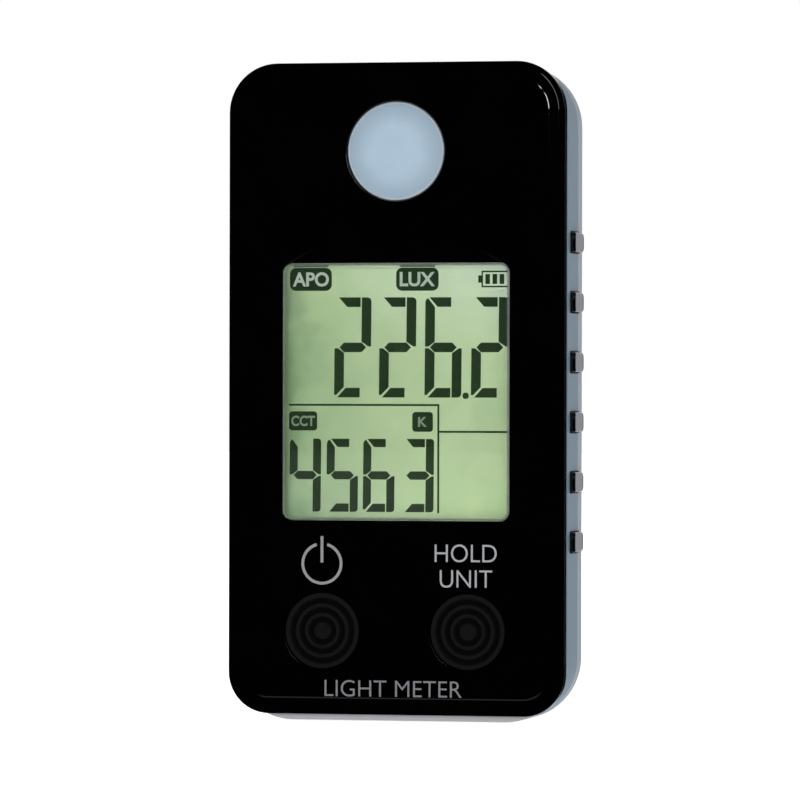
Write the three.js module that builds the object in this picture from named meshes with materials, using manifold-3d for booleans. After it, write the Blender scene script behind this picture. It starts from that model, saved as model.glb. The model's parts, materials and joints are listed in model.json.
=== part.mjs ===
// Handheld light meter: a slim pocket meter with a glossy front cover, a silver side frame and a
// rear cover, and inside them the display, the light sensor, the keypad, the board and a coin cell.
//
// Every piece is drawn with X across the meter, Y up it and Z out of its front face. Z = 0 is half
// way through the meter. Each finished piece is then stood upright: +Z up, front face towards -Y,
// resting on its bottom edge, with the origin at the centre of that edge. All sizes in millimetres.

import * as THREE from 'three';
import { mergeVertices } from 'three/addons/utils/BufferGeometryUtils.js';
import Module from 'manifold-3d';

const wasm = await Module();
wasm.setup();

// ---------------------------------------------------------------- driving dimensions

const HEIGHT = 100;
const HALF_WIDTH = 26.1;
const FRONT = 7.5;
const BACK = -7.5;
const FACE_CORNER_RADIUS = { high: 7.5, low: 6.3 };
const BODY_CORNER_RADIUS = 9.5;
const LIP_BELOW_FACE = 1.0;
const SHELL_BELOW_TOP = 0.1;

const FRONT_SEAM = 4.9;
const REAR_SEAM = -3.2;
const HALF_SEAM = 0.05;
const COVER_WALL = 1.6;
const FRAME_WALL = 1.8;
const FRONT_INSIDE = 6.0;
const BACK_INSIDE = -6.0;
const FRONT_EDGE = { inset: 2.3, depth: 0.7 };
const REAR_EDGE = { inset: 1.2, depth: 1.2 };

const WINDOW = { halfWidth: 17.72, halfHeight: 19.54, centre: 50, radius: 1.5 };
const SENSOR = { centre: 86.5, radius: 7.52 };
const KEY = { x: 11.3, centre: 13.7, radius: 6.0, gap: 0.2 };
const GRIP = { count: 6, pitch: 9.1, centre: 50, height: 3.0, front: 2.6, back: -4.4, proud: 0.73 };

const BOARD = { halfWidth: 22.5, low: 3.6, high: 95.8, back: 0, front: 1.2 };
const CELL = { centre: 36.5, radius: 10, back: -4.9, front: -1.7 };
const DOOR = { halfWidth: 13, low: 21, high: 52, radius: 2, gap: 0.2 };
const LABEL = { halfWidth: 18, low: 66, high: 84, depth: 0.3 };
const CASE_SCREW = { x: 19.4, low: 7.7, high: 92 };
const BOARD_SCREWS = [[-20.9, 76], [20.9, 76], [0, 8.6]];

const FIT = 0.15;
const CORNER_STEPS = 6;
const CIRCLE_STEPS = 32;
const FINE_STEPS = 16;

// The black face starts a lip's height above the bottom edge. The silver shell behind it stops a
// little short of the top and has rounder corners.
const FACE = {
  halfWidth: HALF_WIDTH, low: LIP_BELOW_FACE, high: HEIGHT,
  radius: FACE_CORNER_RADIUS.high, lowRadius: FACE_CORNER_RADIUS.low,
};
const SHELL = {
  halfWidth: HALF_WIDTH, low: 0, high: HEIGHT - SHELL_BELOW_TOP, radius: BODY_CORNER_RADIUS,
};

// ---------------------------------------------------------------- colours

const LOOKS = {
  glossBlack: { color: 0x050506, roughness: 0.08, metalness: 0 },
  silver: { color: 0x8e98a2, roughness: 0.35, metalness: 0.6 },
  paleSilver: { color: 0x9fa8b0, roughness: 0.4, metalness: 0.5 },
  rubber: { color: 0x18191a, roughness: 0.8, metalness: 0 },
  clear: { color: 0xdfe8df, roughness: 0.05, metalness: 0, transparent: true, opacity: 0.3 },
  opal: { color: 0xb4c6d6, roughness: 0.45, metalness: 0 },
  displayGreen: { color: 0xa9c88c, roughness: 0.3, metalness: 0 },
  white: { color: 0xe6e6e2, roughness: 0.6, metalness: 0 },
  darkPlastic: { color: 0x26282a, roughness: 0.6, metalness: 0 },
  foam: { color: 0x1c1c1c, roughness: 0.95, metalness: 0 },
  board: { color: 0x1d5a35, roughness: 0.5, metalness: 0 },
  chip: { color: 0x151618, roughness: 0.5, metalness: 0 },
  ceramic: { color: 0xb59a78, roughness: 0.5, metalness: 0 },
  steel: { color: 0xb8bbbe, roughness: 0.3, metalness: 1 },
  springSteel: { color: 0xc9c2a8, roughness: 0.3, metalness: 1 },
  filter: { color: 0x9fb7c4, roughness: 0.1, metalness: 0 },
  carbon: { color: 0x0c0c0d, roughness: 0.9, metalness: 0 },
  label: { color: 0xc9cccf, roughness: 0.5, metalness: 0 },
};

// ---------------------------------------------------------------- solids

function solid(geometry) {
  const bare = geometry.clone();
  bare.deleteAttribute('normal');
  bare.deleteAttribute('uv');
  const merged = mergeVertices(bare, 1e-4);
  const corners = merged.index.array;
  const faces = [];
  for (let i = 0; i < corners.length; i += 3) {
    const [a, b, c] = corners.slice(i, i + 3);
    if (a !== b && b !== c && c !== a) faces.push(a, b, c);
  }
  const mesh = new wasm.Mesh({
    numProp: 3,
    vertProperties: Float32Array.from(merged.attributes.position.array),
    triVerts: Uint32Array.from(faces),
  });
  return new wasm.Manifold(mesh);
}

function union(...bodies) {
  return bodies.reduce((whole, body) => whole.add(body));
}

function cut(base, ...tools) {
  return base.subtract(union(...tools));
}

// The points of a rounded rectangle, anticlockwise, drawn in from its edge by an inset. Its lower
// corners may have a radius of their own.
function contour({ halfWidth, low, high, radius, lowRadius = radius }, inset = 0, steps = CORNER_STEPS) {
  const upper = Math.max(radius - inset, 0.2);
  const lower = Math.max(lowRadius - inset, 0.2);
  const edge = halfWidth - inset;
  const top = high - inset - upper;
  const bottom = low + inset + lower;
  const corners = [
    [edge - upper, top, upper], [upper - edge, top, upper],
    [lower - edge, bottom, lower], [edge - lower, bottom, lower],
  ];
  return corners.flatMap(([x, y, r], corner) =>
    Array.from({ length: steps + 1 }, (_, i) => {
      const angle = (corner + i / steps) * Math.PI / 2;
      return new THREE.Vector2(x + r * Math.cos(angle), y + r * Math.sin(angle));
    }));
}

function circle(x, y, radius, steps = CIRCLE_STEPS) {
  return Array.from({ length: steps }, (_, i) => {
    const angle = (i / steps) * Math.PI * 2;
    return new THREE.Vector2(x + radius * Math.cos(angle), y + radius * Math.sin(angle));
  });
}

// A flat piece between two depths.
function plate(points, back, front) {
  const shape = new THREE.Shape(points);
  const geometry = new THREE.ExtrudeGeometry(shape, { depth: front - back, bevelEnabled: false });
  return solid(geometry.translate(0, 0, back));
}

function block(x0, x1, y0, y1, z0, z1) {
  const geometry = new THREE.BoxGeometry(x1 - x0, y1 - y0, z1 - z0);
  return solid(geometry.translate((x0 + x1) / 2, (y0 + y1) / 2, (z0 + z1) / 2));
}

function post(x, y, radius, back, front, steps = FINE_STEPS) {
  return plate(circle(x, y, radius, steps), back, front);
}

// A convex body whose rounded-rectangle section changes with depth: one ring of points per level.
function loft(outline, levels) {
  const rings = levels.map(({ z, inset }) => contour(outline, inset).map(({ x, y }) => [x, y, z]));
  const count = rings[0].length;
  const centreY = (outline.low + outline.high) / 2;
  const points = [...rings.flat(), [0, centreY, levels[0].z], [0, centreY, levels.at(-1).z]];
  const backCentre = rings.length * count;
  const frontCentre = backCentre + 1;
  const lastRing = (rings.length - 1) * count;
  const faces = [];
  for (let i = 0; i < count; i += 1) {
    const next = (i + 1) % count;
    for (let ring = 0; ring < lastRing; ring += count) {
      faces.push(ring + i, ring + next, ring + count + next);
      faces.push(ring + i, ring + count + next, ring + count + i);
    }
    faces.push(backCentre, next, i);
    faces.push(frontCentre, lastRing + i, lastRing + next);
  }
  const geometry = new THREE.BufferGeometry();
  geometry.setAttribute('position', new THREE.Float32BufferAttribute(points.flat(), 3));
  geometry.setIndex(faces);
  return solid(geometry);
}

// The levels of a quarter-ellipse edge, from the flat face at faceZ towards the straight wall.
function edgeLevels({ inset, depth }, faceZ, towards, steps = 5) {
  return Array.from({ length: steps + 1 }, (_, i) => {
    const angle = (i / steps) * Math.PI / 2;
    return {
      z: faceZ + towards * depth * (1 - Math.cos(angle)),
      inset: inset * (1 - Math.sin(angle)),
    };
  });
}

// A piece turned about the Z axis, from [radius, z] points that run from back to front.
function turned(profile, x, y, steps = CIRCLE_STEPS) {
  const points = profile.map(([radius, z]) => new THREE.Vector2(radius, z));
  const geometry = new THREE.LatheGeometry(points, steps);
  return solid(geometry.rotateX(Math.PI / 2).translate(x, y, 0));
}

// A bent strip of sheet metal: a centre line of [a, b] points with a thickness, width wide.
function bentStrip(line, thickness, width) {
  const half = thickness / 2;
  const points = line.map(([a, b]) => new THREE.Vector2(a, b));
  const normals = points.slice(1).map((point, i) => {
    const along = point.clone().sub(points[i]).normalize();
    return new THREE.Vector2(-along.y, along.x);
  });
  const side = (sign) => points.map((point, i) => {
    const before = normals[Math.max(i - 1, 0)];
    const after = normals[Math.min(i, normals.length - 1)];
    const mitre = before.clone().add(after).normalize();
    return point.clone().addScaledVector(mitre, sign * half / mitre.dot(after));
  });
  const shape = new THREE.Shape([...side(-1), ...side(1).reverse()]);
  const geometry = new THREE.ExtrudeGeometry(shape, { depth: width, bevelEnabled: false });
  return geometry.translate(0, 0, -width / 2);
}

// ---------------------------------------------------------------- the meter

const meter = new THREE.Group();
meter.name = 'light_meter';

// Stands a drawn piece upright: drawing X, Y, Z become X, Z, -Y.
const UPRIGHT = new THREE.Matrix4().set(1, 0, 0, 0, 0, 0, -1, 0, 0, 1, 0, 0, 0, 0, 0, 1);

function add(name, body, look) {
  const { vertProperties, triVerts } = body.getMesh();
  const geometry = new THREE.BufferGeometry();
  geometry.setAttribute('position', new THREE.Float32BufferAttribute(vertProperties, 3));
  geometry.setIndex([...triVerts]);
  geometry.applyMatrix4(UPRIGHT);
  geometry.computeVertexNormals();
  const mesh = new THREE.Mesh(geometry, new THREE.MeshStandardMaterial(LOOKS[look]));
  mesh.name = name;
  meter.add(mesh);
}

const windowOutline = {
  halfWidth: WINDOW.halfWidth,
  low: WINDOW.centre - WINDOW.halfHeight,
  high: WINDOW.centre + WINDOW.halfHeight,
  radius: WINDOW.radius,
};
const caseScrewPlaces = [-1, 1].flatMap((side) =>
  [CASE_SCREW.low, CASE_SCREW.high].map((y) => [side * CASE_SCREW.x, y]));
const gripHeights = Array.from({ length: GRIP.count }, (_, i) =>
  GRIP.centre + (i - (GRIP.count - 1) / 2) * GRIP.pitch);

// Front cover: a shallow glossy tray, open for the window, the diffuser and the two keys. Long
// bosses take the case screws, and short ones carry the board.
function frontCover() {
  const BOSS_END = -2.9;
  const PILOT_FLOOR = 2.5;
  const outside = loft(FACE, [
    { z: FRONT_SEAM + HALF_SEAM, inset: 0 },
    ...edgeLevels(FRONT_EDGE, FRONT, -1).reverse(),
  ]);
  const inside = loft(FACE, [
    { z: FRONT_SEAM - 1, inset: COVER_WALL },
    { z: FRONT_INSIDE, inset: COVER_WALL },
  ]);
  const openings = [
    plate(contour(windowOutline), FRONT_SEAM, FRONT + 1),
    post(0, SENSOR.centre, SENSOR.radius, FRONT_SEAM, FRONT + 1, CIRCLE_STEPS),
    ...[-1, 1].map((side) =>
      post(side * KEY.x, KEY.centre, KEY.radius, FRONT_SEAM, FRONT + 1, CIRCLE_STEPS)),
  ];
  const longBosses = caseScrewPlaces.map(([x, y]) =>
    cut(post(x, y, 2.4, BOSS_END, FRONT_INSIDE + 0.5), post(x, y, 1.0, BOSS_END - 1, PILOT_FLOOR)));
  const shortBosses = BOARD_SCREWS.map(([x, y]) =>
    cut(post(x, y, 1.9, BOARD.front + FIT, FRONT_INSIDE + 0.5), post(x, y, 0.8, 0, 5)));
  return union(cut(outside, inside, ...openings), ...longBosses, ...shortBosses);
}

// Silver side frame: a ring with a tongue into each cover. Six slots a side, open to the rear seam,
// let the grip ribs through.
function midFrame() {
  const TONGUE = 0.75;
  const FLANGE = 1.4;
  const front = FRONT_SEAM - HALF_SEAM;
  const back = REAR_SEAM + HALF_SEAM;
  const outside = loft(SHELL, [
    { z: back, inset: 0 },
    { z: front - 0.3, inset: 0 },
    { z: front, inset: 0.3 },
  ]);
  const ring = (outline, near, far, z0, z1) =>
    cut(plate(contour(outline, near), z0, z1), plate(contour(outline, far), z0 - 1, z1 + 1));
  const hollow = cut(outside, plate(contour(SHELL, FRAME_WALL), back - 1, front + 1));
  const tongueFace = COVER_WALL + 0.3;
  const tongueInside = tongueFace + 0.8;
  const frontFlange = cut(
    plate(contour(SHELL, FRAME_WALL - 0.1), front - FLANGE, front),
    plate(contour(FACE, tongueInside), front - FLANGE - 1, front + 1));
  const frontTongue = ring(FACE, tongueFace, tongueInside, front - 0.5, front + TONGUE);
  const rearFlange = ring(SHELL, FRAME_WALL - 0.1, tongueInside, back, back + FLANGE);
  const rearTongue = ring(SHELL, tongueFace, tongueInside, back - TONGUE, back + 0.5);
  const slots = [-1, 1].flatMap((side) => gripHeights.map((y) => gripSlot(side, y, back - 2)));
  return cut(union(hollow, frontFlange, frontTongue, rearFlange, rearTongue), ...slots);
}

// The clearance around one grip rib, from its front end back to the given depth.
function gripSlot(side, y, back) {
  const half = GRIP.height / 2 + FIT;
  const x = side * HALF_WIDTH;
  return block(x - 4, x + 4, y - half, y + half, back, GRIP.front + FIT);
}

// Grip strip: six ribs on a band that lies inside the frame's wall.
function gripStrip(side) {
  const BAND = 0.9;
  const END = 3;
  const bandOuter = HALF_WIDTH - FRAME_WALL - FIT;
  const [x0, x1] = [side * (bandOuter - BAND), side * bandOuter].sort((a, b) => a - b);
  const low = gripHeights[0] - END;
  const high = gripHeights.at(-1) + END;
  const band = block(x0, x1, low, high, REAR_SEAM + 1.6, FRONT_SEAM - 1.6);
  return union(band, ...gripHeights.map((y) => gripRib(side, y, bandOuter)));
}

function gripRib(side, y, root) {
  const ROUND = 0.25;
  const middle = (GRIP.front + GRIP.back) / 2;
  const halfLength = (GRIP.front - GRIP.back) / 2;
  const outline = { halfWidth: halfLength, low: -GRIP.height / 2, high: GRIP.height / 2, radius: 0.9 };
  const shape = new THREE.Shape(contour(outline, ROUND, 3));
  const reach = HALF_WIDTH + GRIP.proud - root + ROUND;
  const geometry = new THREE.ExtrudeGeometry(shape, {
    depth: reach - 2 * ROUND,
    bevelSize: ROUND,
    bevelThickness: ROUND,
    bevelSegments: 1,
  });
  // The rib is drawn lying along X and rising along Z, then turned to rise along side * X.
  geometry.translate(0, 0, ROUND).rotateY(side * Math.PI / 2);
  return solid(geometry.translate(side * (root - ROUND), y, middle));
}

// Rear cover: a tray with the battery opening, four countersunk screw posts and a label recess.
function rearCover() {
  const COUNTERBORE_FLOOR = -5.7;
  const outside = loft(SHELL, [
    ...edgeLevels(REAR_EDGE, BACK, 1),
    { z: REAR_SEAM - HALF_SEAM, inset: 0 },
  ]);
  const inside = loft(SHELL, [
    { z: BACK_INSIDE, inset: COVER_WALL },
    { z: REAR_SEAM + 1, inset: COVER_WALL },
  ]);
  const posts = caseScrewPlaces.map(([x, y]) =>
    post(x, y, 3.0, BACK_INSIDE - 0.5, REAR_SEAM));
  const screwHoles = caseScrewPlaces.flatMap(([x, y]) => [
    post(x, y, 1.15, BACK - 1, 0),
    post(x, y, 2.2, BACK - 1, COUNTERBORE_FLOOR, CIRCLE_STEPS),
  ]);
  const notches = [-1, 1].flatMap((side) => gripHeights.map((y) => {
    const half = GRIP.height / 2 + FIT;
    const x = side * HALF_WIDTH;
    return block(x - 4, x + 4, y - half, y + half, GRIP.back - FIT, REAR_SEAM + 1);
  }));
  const batteryOpening = plate(contour(DOOR, 0, 4), BACK - 1, BACK_INSIDE + 1);
  const thumbNotch = plate(
    contour({ halfWidth: 5, low: DOOR.high - 2, high: DOOR.high + 3.4, radius: 2.4 }, 0, 4),
    BACK - 1, BACK + 0.8);
  const labelRecess = plate(
    contour({ ...LABEL, radius: 1 }, 0, 3), BACK - 1, BACK + LABEL.depth);
  return cut(union(cut(outside, inside), ...posts),
    ...screwHoles, ...notches, batteryOpening, thumbNotch, labelRecess);
}

// Battery door: a panel that swings on two hooked tabs at its bottom edge. A sprung tongue at its
// top edge, drawn as it is when pressed, holds it shut.
function batteryDoor() {
  const panel = plate(contour(DOOR, DOOR.gap, 4), BACK, BACK_INSIDE);
  const tabs = [-7, 7].map((x) => union(
    block(x - 2, x + 2, DOOR.low + 0.4, DOOR.low + 2, BACK_INSIDE - 0.2, -4.9),
    block(x - 2, x + 2, DOOR.low - 1.4, DOOR.low + 0.5, BACK_INSIDE + FIT, -4.9)));
  const slit = union(
    block(-4.3, 4.3, DOOR.high - 1.9, DOOR.high - 1.3, BACK - 1, BACK_INSIDE + 1),
    ...[-4.15, 4.15].map((x) =>
      block(x - 0.15, x + 0.15, DOOR.high - 1.9, DOOR.high, BACK - 1, BACK_INSIDE + 1)));
  const rootLeaf = block(-4, 4, DOOR.high - 2.8, DOOR.high - 1.9, BACK_INSIDE - 0.2, -3.4);
  const bend = block(-4, 4, DOOR.high - 2.8, DOOR.high - 0.6, -3.6, -2.8);
  const outerLeaf = block(-4, 4, DOOR.high - 1.3, DOOR.high - 0.6, BACK_INSIDE - 0.2, -3.4);
  const cellPads = [-4.5, 4.5].map((x) =>
    block(x - 0.6, x + 0.6, CELL.centre - 5, CELL.centre + 5, BACK_INSIDE - 0.2, -5.05));
  return union(cut(panel, slit), ...tabs, rootLeaf, bend, outerLeaf, ...cellPads);
}

// Clear window: a raised pane that fills the opening, on a flange glued behind the cover.
function windowLens() {
  const FLANGE_MARGIN = 1.9;
  const flange = { ...windowOutline, radius: 1.5 };
  return union(
    plate(contour(windowOutline, 0.1), 5.15, FRONT - 0.2),
    plate(contour(flange, -FLANGE_MARGIN, 3), 5.15, FRONT_INSIDE - 0.05));
}

function dustGasket() {
  return cut(
    plate(contour(windowOutline, -1.9, 3), 4.87, 5.1),
    plate(contour(windowOutline, -0.5, 3), 4, 6));
}

// The LCD glass with its polarisers, its reflector, the tray that holds them to the board and the
// rubber connector strip that joins the glass to the board.
const GLASS = { halfWidth: 19.3, low: 28.9, high: 71.1, radius: 0.2 };
const TRAY_FLOOR = { back: BOARD.front + 0.1, front: 1.9 };
const STRIP = { halfWidth: 17, low: 29.6, high: 32 };

function lcdTray() {
  const SIDE = 1.2;
  const wall = cut(
    plate(contour(GLASS, -SIDE - FIT, 2), TRAY_FLOOR.back, 4.8),
    plate(contour(GLASS, -FIT, 2), TRAY_FLOOR.front, 6));
  const slot = block(-STRIP.halfWidth - FIT, STRIP.halfWidth + FIT,
    STRIP.low - FIT, STRIP.high + FIT, 0, 3);
  return cut(wall, slot);
}

// Diffuser: a white opal disc, very slightly domed, with a flange behind the cover.
function diffuser() {
  const edge = SENSOR.radius - 0.1;
  const DOME = 0.2;
  const face = Array.from({ length: 5 }, (_, i) => {
    const radius = edge * (1 - i / 4);
    return [radius, FRONT - DOME * (radius / edge) ** 2];
  });
  return turned([
    [0, 5.1], [SENSOR.radius + 1.4, 5.1], [SENSOR.radius + 1.4, FRONT_INSIDE - 0.05],
    [edge, FRONT_INSIDE - 0.05], ...face,
  ], 0, SENSOR.centre);
}

function sensorTube() {
  return turned([
    [4.6, BOARD.front + 0.05], [6.6, BOARD.front + 0.05], [6.6, 5.0], [5.8, 5.0],
    [4.6, BOARD.front + 0.05],
  ], 0, SENSOR.centre);
}

// Key: a soft round button with concentric grip rings, on a narrower stem.
const STEM = { radius: 3.2, shoulder: 3.8, end: 2.6 };

function key(side) {
  const RINGS = [[5.5, 0.3], [3.75, 0.28], [2.35, 0.25]];
  const TOP = FRONT - 0.05;
  const VALLEY = TOP - 0.3;
  const outer = KEY.radius - KEY.gap;
  const rings = RINGS.flatMap(([radius, half]) => [
    [radius + half, VALLEY], [radius + half / 2, TOP], [radius - half / 2, TOP],
    [radius - half, VALLEY],
  ]);
  return turned([
    [0, STEM.end], [STEM.radius, STEM.end], [STEM.radius, STEM.shoulder], [outer, STEM.shoulder + 0.6],
    ...rings, [1.1, VALLEY], [0.8, TOP - 0.05], [0, TOP],
  ], side * KEY.x, KEY.centre, 28);
}

// Carbon contact pill under a key. It closes the pads on the board when the key goes down.
function keyPill(side) {
  return post(side * KEY.x, KEY.centre, 2.5, 2.15, STEM.end - 0.02);
}

// Keypad mat: the sheet on the board that the two keys rise from.
function keypadMat() {
  const sheet = { halfWidth: 18.6, low: 5.6, high: 21.4, radius: 2 };
  const holes = [-1, 1].map((side) => post(side * KEY.x, KEY.centre, 4.6, 0, 4, 24));
  const collars = [-1, 1].map((side) => turned([
    [4.4, 1.6], [5.4, 1.6], [4.6, 2.9], [3.9, 2.9], [4.4, 1.6],
  ], side * KEY.x, KEY.centre, 24));
  const clearances = [...caseScrewPlaces, ...BOARD_SCREWS].map(([x, y]) => post(x, y, 2.8, 0, 4));
  return cut(union(cut(plate(contour(sheet, 0, 3), BOARD.front + 0.05, 2.25), ...holes), ...collars),
    ...clearances);
}

function circuitBoard() {
  const NOTCH = 3.0;
  const outline = { ...BOARD, radius: 2.5 };
  const cornerNotches = caseScrewPlaces.map(([x, y]) => {
    const [x0, x1] = x < 0 ? [x - 9, x + NOTCH] : [x - NOTCH, x + 9];
    const [y0, y1] = y < HEIGHT / 2 ? [y - 9, y + NOTCH] : [y - NOTCH, y + 9];
    return block(x0, x1, y0, y1, -1, 2);
  });
  const screwHoles = BOARD_SCREWS.map(([x, y]) => post(x, y, 1.1, -1, 2));
  return cut(plate(contour(outline, 0, 3), BOARD.back, BOARD.front), ...cornerNotches, ...screwHoles);
}

// Coin cell holder: a square frame with a round pocket, open below for the negative contact and at
// one side for the positive one.
const HOLDER_BACK = -5.4;

function cellHolder() {
  const frame = {
    halfWidth: 12.6, low: CELL.centre - 11.4, high: CELL.centre + 11.4, radius: 2.5,
  };
  return cut(plate(contour(frame, 0, 3), HOLDER_BACK, -0.1),
    post(0, CELL.centre, CELL.radius + 0.3, HOLDER_BACK - 1, CELL.front + 0.05, CIRCLE_STEPS),
    post(0, CELL.centre, 6.4, -4, 1, CIRCLE_STEPS),
    block(9.5, 11.4, CELL.centre - 2.4, CELL.centre + 2.4, HOLDER_BACK - 1, 1));
}

function coinCell() {
  const RIM = 0.5;
  return turned([
    [0, CELL.back], [CELL.radius - RIM, CELL.back], [CELL.radius, CELL.back + RIM],
    [CELL.radius, CELL.front - 0.7], [CELL.radius - 1.3, CELL.front - 0.25],
    [CELL.radius - 1.3, CELL.front], [0, CELL.front],
  ], 0, CELL.centre, 40);
}

function negativeContact() {
  const strip = bentStrip([[-5, -0.25], [-1, -0.25], [3.6, -1.5], [5.2, -1.2]], 0.22, 3.4);
  // Drawn in the plane of height and depth, with its width across the meter.
  const turn = new THREE.Matrix4().set(0, 0, 1, 0, 1, 0, 0, CELL.centre, 0, 1, 0, 0, 0, 0, 0, 1);
  return solid(strip.applyMatrix4(turn));
}

function positiveContact() {
  const WIDTH = 4.2;
  const strip = bentStrip([[11.1, -0.3], [10.55, -0.3], [10.3, -2.6], [10.9, -5.0]], 0.22, WIDTH);
  const turn = new THREE.Matrix4().set(1, 0, 0, 0, 0, 0, -1, CELL.centre, 0, 1, 0, 0, 0, 0, 0, 1);
  return solid(strip.applyMatrix4(turn));
}

// Self-tapping screw with its head at the back. A cross is cut in the head.
function screw([x, y], { headRadius, headBack, headFront, shaftRadius, tip }) {
  const RECESS = 0.55;
  const arm = headRadius * 0.58;
  const half = headRadius * 0.14;
  const body = turned([
    [0, headBack], [headRadius * 0.8, headBack], [headRadius, headBack + 0.4],
    [headRadius, headFront], [shaftRadius, headFront], [shaftRadius, tip - 1], [0.2, tip], [0, tip],
  ], x, y, FINE_STEPS);
  return cut(body,
    block(x - arm, x + arm, y - half, y + half, headBack - 1, headBack + RECESS),
    block(x - half, x + half, y - arm, y + arm, headBack - 1, headBack + RECESS));
}

const CASE_SCREW_SIZE = {
  headRadius: 1.95, headBack: -7.15, headFront: -5.75, shaftRadius: 0.88, tip: 1.8,
};
const BOARD_SCREW_SIZE = {
  headRadius: 1.6, headBack: -1.05, headFront: -0.05, shaftRadius: 0.7, tip: 4.4,
};

// A component soldered flat on the board, on its back (side -1) or its front (side 1).
function component(x, y, width, height, thickness, side) {
  const GAP = 0.05;
  const near = side < 0 ? BOARD.back - GAP : BOARD.front + GAP;
  const [z0, z1] = [near, near + side * thickness].sort((a, b) => a - b);
  return block(x - width / 2, x + width / 2, y - height / 2, y + height / 2, z0, z1);
}

add('front_cover', frontCover(), 'glossBlack');
add('mid_frame', midFrame(), 'silver');
add('rear_cover', rearCover(), 'paleSilver');
add('battery_door', batteryDoor(), 'paleSilver');
add('grip_strip_left', gripStrip(-1), 'glossBlack');
add('grip_strip_right', gripStrip(1), 'glossBlack');

add('window_lens', windowLens(), 'clear');
add('dust_gasket', dustGasket(), 'foam');
add('lcd_glass', plate(contour(GLASS, 0, 1), 2.9, 4.8), 'displayGreen');
add('lcd_reflector', plate(contour({ ...GLASS, low: 32.6 }, 0.1, 1), 2.0, 2.8), 'white');
add('lcd_tray', lcdTray(), 'white');
add('connector_strip', block(-STRIP.halfWidth, STRIP.halfWidth, STRIP.low, STRIP.high,
  BOARD.front + 0.05, 2.85), 'darkPlastic');

add('diffuser', diffuser(), 'opal');
add('sensor_tube', sensorTube(), 'darkPlastic');
add('sensor_filter', component(0, SENSOR.centre, 5, 5, 0.5, 1)
  .translate([0, 0, 0.9]), 'filter');
add('light_sensor', component(0, SENSOR.centre, 4.4, 4, 0.8, 1), 'chip');

add('power_key', key(-1), 'rubber');
add('hold_key', key(1), 'rubber');
add('power_key_pill', keyPill(-1), 'carbon');
add('hold_key_pill', keyPill(1), 'carbon');
add('keypad_mat', keypadMat(), 'rubber');

add('circuit_board', circuitBoard(), 'board');
add('main_chip', component(0, 64, 10, 10, 1.4, -1), 'chip');
add('memory_chip', component(-13, 64, 5, 4, 1.3, -1), 'chip');
add('amplifier_chip', component(0, 84, 5, 4, 1.3, -1), 'chip');
add('crystal', component(12, 64, 3.2, 7, 1.5, -1), 'steel');
add('buzzer', post(-13, 80, 4.5, -3.05, -0.05, 24), 'darkPlastic');
[[12, 80], [12, 84], [-6, 76]].forEach(([x, y], i) =>
  add(`capacitor_${i + 1}`, component(x, y, 3.2, 1.6, 1.2, -1), 'ceramic'));

add('cell_holder', cellHolder(), 'darkPlastic');
add('coin_cell', coinCell(), 'steel');
add('negative_contact', negativeContact(), 'springSteel');
add('positive_contact', positiveContact(), 'springSteel');

add('rear_label', plate(contour({ ...LABEL, radius: 1 }, 0.2, 3), BACK + 0.05, BACK + 0.25), 'label');
caseScrewPlaces.forEach((place, i) => add(`case_screw_${i + 1}`, screw(place, CASE_SCREW_SIZE), 'steel'));
BOARD_SCREWS.forEach((place, i) => add(`board_screw_${i + 1}`, screw(place, BOARD_SCREW_SIZE), 'steel'));

export default meter;
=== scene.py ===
"""Looks for the handheld light meter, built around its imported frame.

Pieces are drawn in millimetres with x across the meter, y up it and z out of its front face, and
are stood upright in metres at the end: drawn (x, y, z) becomes (x, -z, y) in the row frame.
"""

import json
import math
from collections import namedtuple

import bmesh
import bpy
from mathutils import Matrix, Vector
from mathutils.geometry import tessellate_polygon

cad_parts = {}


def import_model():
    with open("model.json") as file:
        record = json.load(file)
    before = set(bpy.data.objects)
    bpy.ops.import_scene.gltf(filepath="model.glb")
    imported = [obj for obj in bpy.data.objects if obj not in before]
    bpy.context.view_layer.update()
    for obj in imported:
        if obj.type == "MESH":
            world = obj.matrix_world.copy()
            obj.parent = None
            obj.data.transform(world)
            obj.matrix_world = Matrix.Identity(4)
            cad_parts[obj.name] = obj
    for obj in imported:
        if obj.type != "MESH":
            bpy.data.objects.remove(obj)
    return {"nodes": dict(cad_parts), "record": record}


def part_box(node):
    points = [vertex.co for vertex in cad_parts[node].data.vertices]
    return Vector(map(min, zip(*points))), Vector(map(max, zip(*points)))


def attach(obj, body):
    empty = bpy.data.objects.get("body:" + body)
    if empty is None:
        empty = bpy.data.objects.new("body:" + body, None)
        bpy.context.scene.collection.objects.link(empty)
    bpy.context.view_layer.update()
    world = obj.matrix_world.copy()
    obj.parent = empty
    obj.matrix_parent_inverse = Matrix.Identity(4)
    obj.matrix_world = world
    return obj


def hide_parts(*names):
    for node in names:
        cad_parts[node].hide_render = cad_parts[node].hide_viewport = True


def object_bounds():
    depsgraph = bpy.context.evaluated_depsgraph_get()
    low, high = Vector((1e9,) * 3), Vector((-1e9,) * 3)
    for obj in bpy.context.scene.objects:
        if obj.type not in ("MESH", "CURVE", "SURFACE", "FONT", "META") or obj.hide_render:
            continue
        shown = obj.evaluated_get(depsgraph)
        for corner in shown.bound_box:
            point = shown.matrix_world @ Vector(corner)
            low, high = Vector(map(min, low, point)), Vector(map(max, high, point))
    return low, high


MM = 0.001

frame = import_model()
cad_low, cad_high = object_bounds()
scene = bpy.context.scene

# ---- camera

CAMERA_DISTANCE = 0.9
CAMERA_ANGLES = (12.9, -0.05)
CAMERA_ROLL = 0.11
TARGET_HEIGHT = 0.05055
CAMERA_LENS = 267.3
CAMERA_SHIFT = (0.00625, -0.01475)
CAMERA_NEAR = 0.01


def added(name, data):
    """A new object in the scene."""
    made = bpy.data.objects.new(name, data)
    scene.collection.objects.link(made)
    return made


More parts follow.
